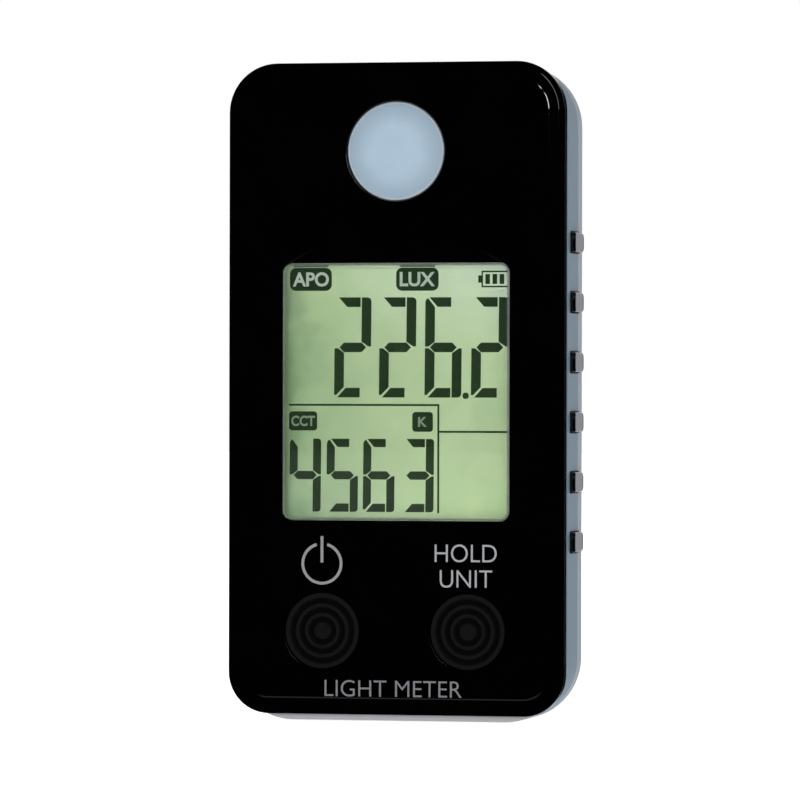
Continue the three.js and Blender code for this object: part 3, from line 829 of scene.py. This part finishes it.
DOOR_INSIDE = BACK_INSIDE - 0.2
DOOR_EDGE_ROUNDING = 0.2
TONGUE_HALF = 4
TONGUE_TOP = -3.4
TONGUE_STEPS = (2.8, 1.9, 1.3, 0.6)
SLIT = 0.3
HOOK_MIDDLES = (-7, 7)
HOOK_HALF = 2
HOOK_TOP = -4.9
PAD_MIDDLES = (-4.5, 4.5)
PAD_HALF = (0.6, 5)
PAD_TOP = -5.05
GROOVE_COUNT = 4
GROOVE_PITCH = 1.3
GROOVE_HALF = (5.5, 0.28)
GROOVE_DEPTH = 0.24
FIRST_GROOVE = 4.2
ARROW_STEPS = (15, 12, 9.6)
ARROW_HEAD = 2.6
ARROW_SHAFT = 1
ARROW_DEPTH = 0.35


def door_tongue():
    """The sprung tongue, drawn pressed in, and the slits round it."""
    leaf_low, leaf_high, latch_low, latch_high = (DOOR.high - step for step in TONGUE_STEPS)
    sides = (-TONGUE_HALF, TONGUE_HALF)
    solids = [
        block("leaf", *sides, leaf_low, leaf_high, DOOR_INSIDE, TONGUE_TOP),
        block("bend", *sides, leaf_low, latch_high, TONGUE_TOP - 0.2, TONGUE_TOP + 0.6),
        block("latch", *sides, latch_low, latch_high, DOOR_INSIDE, TONGUE_TOP),
    ]
    through = (BACK_Z - OVERRUN, BACK_INSIDE + OVERRUN)
    slits = [block("slit", -TONGUE_HALF - SLIT, TONGUE_HALF + SLIT, leaf_high, latch_low, *through)]
    for x in (-TONGUE_HALF - SLIT, TONGUE_HALF):
        slits.append(block("slit", x, x + SLIT, leaf_high, DOOR.high + OVERRUN, *through))
    return solids, slits


def door_hooks():
    """The hooked tabs of the hinge edge, and two pads that press on the cell."""
    solids = []
    for x in HOOK_MIDDLES:
        sides = (x - HOOK_HALF, x + HOOK_HALF)
        solids.append(block("tab", *sides, DOOR.low + 0.4, DOOR.low + 2, DOOR_INSIDE, HOOK_TOP))
        solids.append(block("hook", *sides, DOOR.low - 1.4, DOOR.low + 0.5, BACK_INSIDE + 0.15, HOOK_TOP))
    cell = middle("coin_cell")
    w, h = PAD_HALF
    for x in PAD_MIDDLES:
        solids.append(block("cell_pad", x - w, x + w, cell.y - h, cell.y + h, DOOR_INSIDE, PAD_TOP))
    return solids


def door_marks():
    """Cutters for the thumb grooves and the arrow, which points at the hinge."""
    w, h = GROOVE_HALF
    half_depth = GROOVE_DEPTH / 2
    levels = [(0, BACK_Z - OVERRUN), (0, BACK_Z + half_depth), (half_depth, BACK_Z + GROOVE_DEPTH)]
    cutters = []
    for row in range(GROOVE_COUNT):
        y = DOOR.high - FIRST_GROOVE - row * GROOVE_PITCH
        cutters.append(lofted("groove", Rounded(w, y - h, y + h, h - 0.01), levels, 4))
    tip, neck, tail = (DOOR.high - step for step in ARROW_STEPS)
    right = [(ARROW_HEAD, neck), (ARROW_SHAFT, neck), (ARROW_SHAFT, tail)]
    left = [(-x, y) for x, y in reversed(right)]
    cutters.append(prism("arrow", [(0, tip), *right, *left], BACK_Z - OVERRUN, BACK_Z + ARROW_DEPTH))
    return cutters


def battery_door():
    """Hinged door with grooves and an arrow, two hooked tabs and a sprung tongue."""
    edge = softened([(3, BACK_Z), (DOOR_GAP, BACK_Z), (DOOR_GAP, BACK_INSIDE)], (DOOR_EDGE_ROUNDING,), 4)[1:]
    panel = lofted("panel", DOOR._replace(low_radius=DOOR_HINGE_RADIUS), edge)
    tongue, slits = door_tongue()
    mesh = carved(panel, [*tongue, *door_hooks()], [*slits, *door_marks()])
    place("battery_door_panel", mesh, "rear_silver", body="battery_door", stands_for=["battery_door"],
          bevel=0.06)


SCREW_SHAFT = 0.88
SCREW_HEAD_SIDE = 0.55
SCREW_HEAD_HEIGHT = 1.4
CROSS_DEPTH = 0.6


def case_screws():
    """Pan-head screws with a cross recess, deep in their counterbores."""
    for node in SCREW_NODES:
        low, high = drawn(node)
        x, y, _ = middle(node)
        head = (high.x - low.x) / 2
        under = low.z + SCREW_HEAD_HEIGHT
        profile = softened([
            (0, low.z), (head * 0.55, low.z), (head, low.z + SCREW_HEAD_SIDE), (head, under),
            (SCREW_SHAFT, under), (SCREW_SHAFT, high.z - 1), (0.2, high.z), (0, high.z),
        ], (0.8, 0.2, 0.08, 0.1, 0.1, 0.05), 4)
        cutters = crossed_bars(x, y, head * 0.6, head * 0.15, low.z - OVERRUN, low.z + CROSS_DEPTH)
        mesh = carved(turned(node, profile, x, y, 40), cut=cutters)
        place(node.replace("case", "visible_case"), mesh, "screw_steel", stands_for=[node], bevel=0.04)


def rear_label():
    """Blank satin label in its recess."""
    low, high = drawn("rear_label")
    sheet = Rounded(high.x, low.y, high.y, 0.8)
    softness = 0.03
    film = lofted("film", sheet, [(softness, low.z), (0, low.z + softness), (0, high.z)])
    place("rear_label_film", film, "label_film", stands_for=["rear_label"])


def coin_cell():
    """A rolled steel can with a plus sign pressed into the side that faces the door."""
    low, high = drawn("coin_cell")
    centre = middle("coin_cell")
    radius = (high.x - low.x) / 2
    profile = softened([
        (0, low.z), (radius, low.z), (radius, high.z - 0.45), (radius - 1.15, high.z - 0.3),
        (radius - 1.3, high.z), (0, high.z),
    ], (0.45, 0.25, 0.1, 0.12), 5)
    plus = crossed_bars(centre.x, centre.y, 1.8, 0.28, low.z - OVERRUN, low.z + 0.08)
    mesh = carved(turned("coin_cell", profile, centre.x, centre.y, FINE_STEPS), cut=plus)
    place("coin_cell_can", mesh, "cell_steel", stands_for=["coin_cell"])


# ---- window, diffuser and keys

LEDGE = FRONT_INSIDE - 0.05
PANE_FLANGE = 1.9
PANE_FRONT = 7.3
PANE_BACK = 5.15
PANE_EDGE = 0.1
PANE_BEVEL = 0.6
PANE_BEVEL_DROP = 0.28
PANE_BEVEL_LEVELS = [
    (PANE_EDGE, PANE_FRONT - PANE_BEVEL_DROP), (PANE_BEVEL * 0.5, PANE_FRONT - PANE_BEVEL_DROP * 0.3),
    (PANE_BEVEL, PANE_FRONT),
]
BORDER_SHARES = (1.0, 0.75, 0.0)
BORDER_LIFT = 0.012


def window():
    """Clear pane with a bevelled edge, standing on its hidden flange."""
    foot = [(-PANE_FLANGE, PANE_BACK), (-PANE_FLANGE, LEDGE), (PANE_EDGE, LEDGE)]
    mesh = lofted("window_pane", WINDOW, [*foot, *PANE_BEVEL_LEVELS])
    pane = place("window_pane", mesh, "clear_window", stands_for=["window_lens"])
    pane.visible_shadow = False


def window_edge():
    """The bevel's ground border: a thin closed ring just above the pane."""
    border = Surface()
    tops, undersides, shares = [], [], []
    for (inset, z), share in zip(PANE_BEVEL_LEVELS, BORDER_SHARES):
        points = outline(WINDOW, inset)
        tops.append(border.ring(points, z + BORDER_LIFT))
        undersides.append(border.ring(points, z + BORDER_LIFT / 2))
        shares += [share] * len(points) + [0.0] * len(points)
    border.bridge(*tops, *reversed(undersides), tops[0])
    mesh = border.mesh("window_border")
    carry(mesh, "edge", shares)
    place("window_border", mesh, "clear_window", material=window_border())


DOME = 0.2
DOME_STEPS = 12
DISC_GAP = 0.1


def diffuser():
    """Opal disc, slightly domed, with a softened rim."""
    low, high = drawn("diffuser")
    edge = SENSOR_RADIUS - DISC_GAP
    crown_radius = edge - 0.2
    flange = (high.x - low.x) / 2
    shoulder = high.z - DOME
    profile = [
        (0, low.z), (flange, low.z), (flange, LEDGE), (edge, LEDGE), (edge, shoulder - 0.3),
        (edge - 0.06, shoulder - 0.12), (crown_radius, shoulder - 0.02),
    ]
    for step in range(1, DOME_STEPS + 1):
        radius = crown_radius * (1 - step / DOME_STEPS)
        profile.append((radius, high.z - DOME * (radius / edge) ** 2 - 0.01))
    mesh = turned("diffuser_disc", profile, SENSOR.x, SENSOR.y, FINE_STEPS)
    place("diffuser_disc", mesh, "opal_diffuser", stands_for=["diffuser"])


KEY_STEM = 3.2
KEY_STEM_HEIGHT = 1.2
KEY_RIDGES = ((5.4, 0.55), (3.85, 0.42), (2.45, 0.4))
KEY_GROOVE = 0.42
KEY_RING_STEPS = 58
KEY_CENTRE_DISC = 1.38
KEY_CENTRE_EDGE = 0.07
KEY_CENTRE_LIFT = 0.85


def ring_height(radius):
    """Up to 1 on a ridge or on the centre disc of a key, and 0 in the grooves between."""
    lift = KEY_CENTRE_LIFT / (1 + math.exp((radius - KEY_CENTRE_DISC) / KEY_CENTRE_EDGE))
    for ridge, half in KEY_RIDGES:
        away = max(abs(radius - ridge) - half * 0.45, 0) / (half * 0.75)
        lift = max(lift, math.exp(-away * away * 2.2))
    return lift


def keys():
    """Silicone keys with concentric rings, a flat centre and a narrower stem."""
    for node, body in KEYS.items():
        low, high = drawn(node)
        x, y, _ = middle(node)
        edge = (high.x - low.x) / 2
        shoulder = low.z + KEY_STEM_HEIGHT
        profile = [
            (0, low.z), (KEY_STEM, low.z), (KEY_STEM, shoulder), (edge - 0.1, shoulder + 0.55),
            (edge, shoulder + 0.7), (edge, high.z - 0.45), (edge - 0.05, high.z - 0.25),
        ]
        for step in range(1, KEY_RING_STEPS):
            radius = edge * (1 - step / KEY_RING_STEPS)
            profile.append((radius, high.z - KEY_GROOVE * (1 - ring_height(radius))))
        profile.append((0, profile[-1][1]))
        mesh = turned(node, profile, x, y, FINE_STEPS)
        heights = []
        for vertex in mesh.vertices:
            radius = math.hypot(vertex.co.x - x, vertex.co.y - y)
            on_top = vertex.co.z > high.z - 0.6
            heights.append(ring_height(min(radius, edge - 0.1)) if on_top else 0.0)
        carry(mesh, "raised", heights)
        place(f"{node}_cap", mesh, "key_rubber", body=body, stands_for=[node])


# ---- printed marks


def flat_marks(name, loops, z, slot, material):
    """Thin printed shapes, all in one piece."""
    solids = [prism(name, loop, z, z + INK_DEPTH) for loop in loops]
    place(name, joined(name, solids), slot, material=material)


def lettering(name, text, extents, z, slot, material, weight, depth=INK_DEPTH):
    """Built-in font lettering, fitted to its (left, right, foot, top) extents."""
    curve = bpy.data.curves.new(name, "FONT")
    curve.body = text
    curve.extrude = 0.5
    curve.offset = weight
    curve.resolution_u = 6
    mesh = baked(added(name, curve))
    axes = list(zip(*(vertex.co for vertex in mesh.vertices)))
    low, high = Vector([min(axis) for axis in axes]), Vector([max(axis) for axis in axes])
    size = high - low
    left, right, foot, top = extents
    fit = Matrix.Diagonal(((right - left) / size.x, (top - foot) / size.y, depth / size.z, 1))
    mesh.transform(Matrix.Translation((left, foot, z)) @ fit @ Matrix.Translation(-low))
    place(name, welded(mesh, WELD_DISTANCE), slot, material=material)


def arc_band(x, y, inner, outer, start, end, steps=48):
    """A band between two radii, from one angle to another in degrees."""
    angles = [math.radians(start + (end - start) * step / steps) for step in range(steps + 1)]
    outside = [(x + outer * math.cos(angle), y + outer * math.sin(angle)) for angle in angles]
    inside = [(x + inner * math.cos(angle), y + inner * math.sin(angle)) for angle in reversed(angles)]
    return outside + inside


POWER_MARK = (-11.34, 23.9)
POWER_RADII = (2.78, 3.21)
POWER_GAP = 16
POWER_BAR_HALF = 0.22
POWER_BAR = (0.15, 4.15)
FACE_LETTER_WEIGHT = -0.007


def front_print():
    """The power mark and the words on the face."""
    dim = printed("print_dim", srgb(150, 150, 152))
    pale = printed("print_pale", srgb(170, 171, 174))
    grey = printed("print_grey", srgb(132, 133, 137))
    x, y = POWER_MARK
    bar_low, bar_high = (y + step for step in POWER_BAR)
    power = [
        arc_band(x, y, *POWER_RADII, 90 + POWER_GAP, 450 - POWER_GAP),
        rectangle(x - POWER_BAR_HALF, x + POWER_BAR_HALF, bar_low, bar_high),
    ]
    flat_marks("power_mark", power, FACE_Z, "gloss_black", dim)
    words = (
        ("hold_lettering", "HOLD", (6.2, 15.8, 24.25, 26.95), pale),
        ("unit_lettering", "UNIT", (7.0, 15.1, 20.4, 23.05), pale),
        ("title_lettering", "LIGHT METER", (-10.9, 10.4, 3.75, 6.25), grey),
    )
    for name, text, extents, ink in words:
        lettering(name, text, extents, FACE_Z, "gloss_black", ink, FACE_LETTER_WEIGHT)


Digit = namedtuple("Digit", "width height upright level gap corner")
LARGE_DIGIT = Digit(5.7, 15.2, 1.5, 1.45, 0.2, 0.55)
SMALL_DIGIT = Digit(4.9, 11.1, 1.25, 1.25, 0.17, 0.42)
DIGIT_SLANT = math.tan(math.radians(0.5))
LIT = {
    "2": "abged", "3": "abgcd", "4": "fgbc", "5": "afgcd", "6": "afgedc",
}
PARALLAX = 0.5
LCD_Z = 4.8


def segment(kind, digit):
    """One display segment's outline, with the digit's lower left corner at the origin. The letters
    go clockwise from the top, a to f, and g is the middle bar."""
    w, h, t, u, gap, corner = digit
    m = h / 2
    half = u / 2
    cut = gap * 0.7
    right = w - t
    if kind == "a":
        return [(0.62, h), (right - gap, h), (right - gap, h - u), (t + 0.42, h - u)]
    if kind == "b":
        corner_cut = [(w - corner, h), (w - corner * 0.3, h - corner * 0.3), (w, h - corner)]
        return [(right, m + half + cut), (right, h), *corner_cut, (w, m + cut), (w - t * 0.28, m + cut)]
    if kind == "c":
        return [(x, h - y) for x, y in segment("b", digit)]
    if kind == "d":
        return [(0.35 + cut, 0), (right - gap, 0), (right - gap, u), (t + 0.3, u)]
    if kind == "e":
        inner = [(t * 0.38, m - cut), (t, m - half - cut), (t, u + 0.12)]
        return [(0, m - cut), *inner, (0.3, 0.35), (0, 0.4)]
    if kind == "f":
        inner = [(t * 0.38, m + cut), (t, m + half + cut), (t, h - u - 0.05)]
        return [(0, m + cut), *inner, (0.4, h - 0.12), (0.12, h - 0.35), (0, h - 0.7)]
    point = t * 0.52
    flat = point + half * 0.95
    below = [(flat, m - half), (w - flat, m - half)]
    above = [(w - flat, m + half), (flat, m + half)]
    return [(point, m), *below, (w - point, m), *above]


def digits(text, starts, base, digit):
    """The lit segments of a reading, digit by digit from its left."""
    loops = []
    for character, start in zip(text, starts):
        for kind in LIT[character]:
            loops.append([
                (start - PARALLAX + x + (y - digit.height / 2) * DIGIT_SLANT, base + y)
                for x, y in segment(kind, digit)
            ])
    return loops


Badge = namedtuple("Badge", "extents radius side foot bright")
BADGES = {
    "APO": Badge((-16.4, -9.85, 65.35, 68.85), 0.95, 0.45, 0.65, True),
    "LUX": Badge((0.2, 6.8, 65.35, 68.85), 0.95, 0.55, 0.65, True),
    "CCT": Badge((-16.5, -12.1, 44.1, 47.0), 0.5, 0.35, 0.65, False),
    "K": Badge((2.75, 5.95, 43.95, 46.95), 0.5, 0.9, 0.75, False),
}
BADGE_LETTER_WEIGHT = 0.028
BATTERY = (13.45, 17.3, 65.85, 68.35)
BATTERY_LINE = 0.22
BATTERY_NUB = (0.5, 0.7)
BATTERY_BARS = (0.6, 1.7, 2.8)
BATTERY_BAR_WIDTH = 0.7


def display_bar(x0, x1, y0, y1, radius=0.0):
    return rectangle(x0 - PARALLAX, x1 - PARALLAX, y0, y1, radius)


def readings(ink):
    """The two readings, the decimal point, and the rules that part them."""
    upper = digits("2262", (-9.4, -2.4, 4.7, 11.9), 49.15, LARGE_DIGIT)
    point = display_bar(10.55, 11.5, 48.95, 49.9, 0.4)
    lower = digits("4563", (-16.4, -10.6, -4.9, 1.2), 31.75, SMALL_DIGIT)
    rules = [
        display_bar(-16.5, 6.95, 47.85, 48.15), display_bar(6.65, 6.95, 31.6, 47.85),
        display_bar(6.95, 18.0, 43.8, 44.1),
    ]
    for name, loops in (("upper_reading", [*upper, point]), ("lower_reading", lower), ("rules", rules)):
        flat_marks(name, loops, LCD_Z, "lcd_glass", ink)


def badges(ink):
    """Dark badges with pale letters: the mode and the units."""
    pale = printed("display_letter", srgb(150, 170, 140), 0.05, (0.35, 0.5))
    bright = printed("display_letter_bright", srgb(206, 222, 206), 0.05, (0.35, 0.5))
    for text, badge in BADGES.items():
        x0, x1, y0, y1 = badge.extents
        name = f"badge_{text.lower()}"
        flat_marks(name, [display_bar(x0, x1, y0, y1, badge.radius)], LCD_Z, "lcd_glass", ink)
        left, right = x0 + badge.side - PARALLAX, x1 - badge.side - PARALLAX
        lettering(f"{name}_letters", text, (left, right, y0 + badge.foot, y1 - badge.foot), LCD_Z + INK_DEPTH,
                  "lcd_glass", bright if badge.bright else pale, BADGE_LETTER_WEIGHT, INK_DEPTH / 2)


def battery_level(ink):
    """A battery outline with its nub on the left and three bars inside."""
    x0, x1, y0, y1 = BATTERY
    line = BATTERY_LINE
    nub, nub_margin = BATTERY_NUB
    loops = [
        display_bar(x0, x1, y1 - line, y1), display_bar(x0, x1, y0, y0 + line),
        display_bar(x0, x0 + line, y0, y1), display_bar(x0 - nub, x0, y0 + nub_margin, y1 - nub_margin),
    ]
    for start in BATTERY_BARS:
        loops.append(display_bar(x0 + start, x0 + start + BATTERY_BAR_WIDTH, y0 + 0.5, y1 - 0.5))
    flat_marks("battery_level", loops, LCD_Z, "lcd_glass", ink)


def display_marks():
    """Everything that the display shows."""
    ink = printed("display_ink", srgb(35, 60, 30), 0.1, (0.35, 0.5))
    readings(ink)
    badges(ink)
    battery_level(ink)


# ---- stage

FLOOR_HALF = 4.0
FLOOR_STEPS = 8
FLOOR_GLOW = (0.8, 1.0)
FLOOR_GLOW_REACH = (0.1, 1.2)
TABLE_LIGHT = 0.66
TABLE_LIGHT_REACH = (0.9, 1.4)


def floor():
    """A pale floor that glows a little. Only the part near the meter lights it or shows in it."""
    bm = bmesh.new()
    bmesh.ops.create_grid(bm, x_segments=FLOOR_STEPS, y_segments=FLOOR_STEPS, size=FLOOR_HALF)
    mesh = bpy.data.meshes.new("floor")
    bm.to_mesh(mesh)
    bm.free()
    look = Look("pale_floor", Specular_IOR_Level=0.0, Emission_Color=(1, 1, 1, 1))
    look.feed("Base Color", look.mottled(40, 3.0, (0.9, 0.9, 0.9, 1), (0.92, 0.92, 0.92, 1)))
    look.feed("Roughness", look.ramp(look.grain(8), 0.85, 1.0))
    away = look.distance((0, 0, 0))
    seen = look.node("ShaderNodeLightPath").outputs["Is Camera Ray"]
    glow = look.ramp(away, *FLOOR_GLOW, *FLOOR_GLOW_REACH, smooth=True)
    near = look.ramp(away, TABLE_LIGHT, 0, *TABLE_LIGHT_REACH, smooth=True)
    share = look.combine("MAXIMUM", seen, near)
    look.feed("Emission Strength", look.combine("MULTIPLY", glow, share))
    mesh.materials.append(look.material)
    sheet = added("floor", mesh)
    sheet.visible_glossy = False


LIGHT_AIM = Vector((0, 0, 0.05))


def panel_light(name, azimuth, elevation, distance, size, power, glossy=True, diffuse=True):
    """A rectangular light that faces the meter."""
    data = bpy.data.lights.new(name, "AREA")
    data.shape = "RECTANGLE"
    data.size, data.size_y = size
    data.energy = power
    lamp = added(name, data)
    aim(lamp, LIGHT_AIM, azimuth, elevation, distance)
    lamp.visible_glossy = glossy
    lamp.visible_transmission = glossy
    lamp.visible_diffuse = diffuse


def studio():
    """Broad fills light the whole meter; the slim panels only show as highlights."""
    panel_light("front_fill", -4, 6, 1.5, size=(1.4, 0.3), power=8.5, glossy=False)
    panel_light("left_fill", -80, 30, 1.4, size=(0.9, 0.9), power=3, glossy=False)
    panel_light("back_left", 215, 40, 1.4, size=(0.8, 0.8), power=5)
    panel_light("side_box", 60, 25, 1.3, size=(0.3, 0.8), power=1.5, diffuse=False)
    panel_light("outer_rim_strip", 8, 16.5, 1.6, size=(0.17, 0.68), power=1.2, diffuse=False)
    panel_light("inner_rim_strip", -1.6, 7.0, 1.6, size=(0.08, 0.13), power=0.5, diffuse=False)
    panel_light("inner_rim_dash", -4.0, 10.7, 1.6, size=(0.032, 0.04), power=0.1, diffuse=False)


# Each fade goes over a range of a direction's x, y or z, from one level to another.
BACKDROP_FADE = (0.6, 0.9, 0.003, 0.25)
HALO_FADE = (0.93, 0.965, 0, 0.5)
CARD_FADE = (0.984, 0.99, 1, 0.01)
CEILING_FADE = (0.1, 0.9, 0.1, 0.36)
BAND_FADES = {
    "X": ((-0.3, -0.26, 0, 1), (-0.13, -0.09, 1, 0)),
    "Y": ((-0.7, -0.9, 0, 1),),
    "Z": ((-0.2, -0.175, 0, 0.5), (-0.135, -0.11, 1, 0)),
}
ROOM_COLOUR = (0.93, 0.97, 1.0, 1)


def world():
    """White for the camera. For light and reflections: a pale backdrop with a black card in its
    middle, a soft ceiling and a short, faint band low in front."""
    made = bpy.data.worlds.new("world")
    scene.world = made
    made.use_nodes = True
    tree = made.node_tree
    kit = Nodes(tree)

    def faded(value, fade):
        start, end, low, high = fade
        return kit.ramp(value, low, high, start, end, smooth=True)

    direction = kit.node("ShaderNodeTexCoord").outputs["Generated"]
    parts = kit.node("ShaderNodeSeparateXYZ", {"Vector": direction}).outputs
    back, up = parts["Y"], parts["Z"]
    rays = kit.node("ShaderNodeLightPath").outputs
    backdrop = kit.combine("ADD", faded(back, BACKDROP_FADE), faded(back, HALO_FADE))
    carded = kit.combine("MULTIPLY", backdrop, faded(back, CARD_FADE))
    ceiling = kit.combine("MULTIPLY", faded(up, CEILING_FADE), rays["Is Diffuse Ray"])
    sides = [faded(parts[axis], fade) for axis, fades in BAND_FADES.items() for fade in fades]
    band = kit.combine("MULTIPLY", *sides)
    room = tree.nodes["Background"]
    room.inputs["Color"].default_value = ROOM_COLOUR
    tree.links.new(kit.combine("ADD", carded, ceiling, band), room.inputs["Strength"])
    white = kit.node("ShaderNodeBackground", {"Color": (1, 1, 1, 1)})
    choice = kit.node("ShaderNodeMixShader", {
        "Fac": rays["Is Camera Ray"], 1: room.outputs["Background"], 2: white.outputs["Background"],
    })
    tree.links.new(choice.outputs["Shader"], tree.nodes["World Output"].inputs["Surface"])


# ---- the scene

scene.view_settings.view_transform = "Standard"

dress_cad_nodes()
front_shell()
side_frame()
grips()
back_shell()
battery_door()
case_screws()
rear_label()
window()
window_edge()
diffuser()
keys()
front_print()
display_marks()
coin_cell()
floor()
studio()
world()
